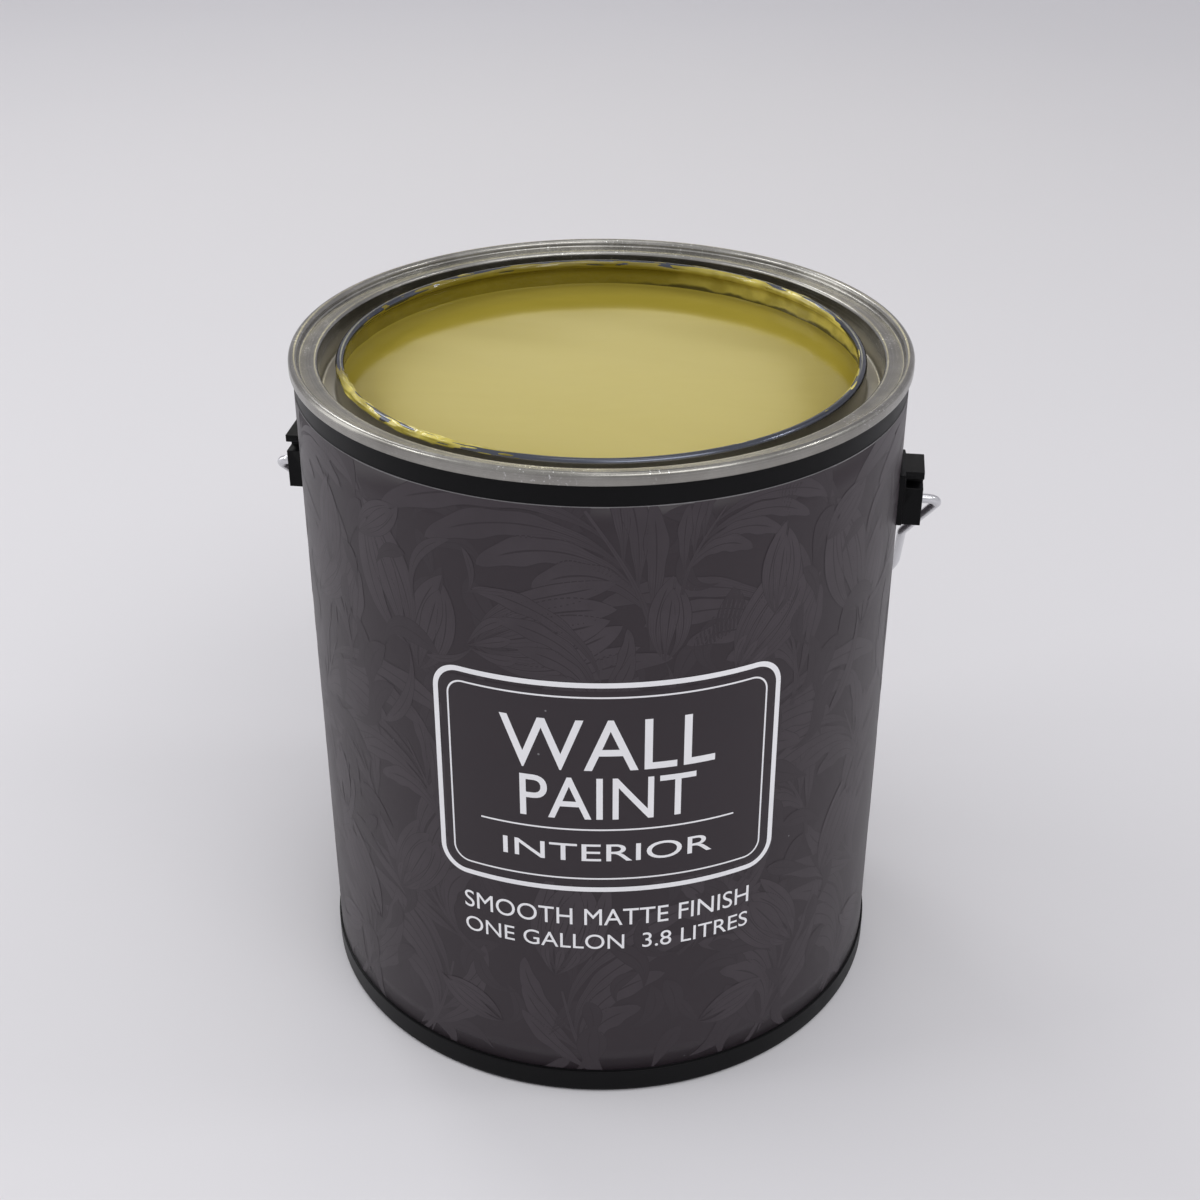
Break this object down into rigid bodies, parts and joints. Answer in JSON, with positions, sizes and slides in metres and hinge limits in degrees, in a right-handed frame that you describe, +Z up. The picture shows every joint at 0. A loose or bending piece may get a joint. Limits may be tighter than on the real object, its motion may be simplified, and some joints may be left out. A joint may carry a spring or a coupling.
{
  "type": "paint can",
  "caption": "Open plastic paint can with a seamed tinplate ring, a hanging wire bail, a printed paper label and paint filling it to the neck.",
  "frame": {"origin": "centre of the foot, on the ground, on the can's axis", "axes": "+Z up along the can's axis, +X through the right ear, -Y out of the front of the label"},
  "size_m": [0.1902, 0.1701, 0.1953],
  "materials": {
    "black_plastic": "satin moulded polypropylene",
    "tinplate": "satin tinplate with rolling marks",
    "seam_compound": "dull sealing compound",
    "wire": "bright zinc-plated wire",
    "label_paper": "satin coated paper, printed tone on tone",
    "paint": "wet paint"
  },
  "bodies": {
    "can": {"body_shell": "black_plastic", "top_ring": "tinplate", "seam_gasket": "seam_compound", "ear_left": "black_plastic", "ear_right": "black_plastic", "wrap_label": "label_paper", "paint": "paint"},
    "bail": {"bail_wire": "wire"}
  },
  "joints": [
    {"name": "bail_swing", "type": "hinge", "parent": "can", "child": "bail", "pos_m": [0, 0, 0.153], "axis": [1, 0, 0], "range_deg": [0, 270.1]}
  ]
}
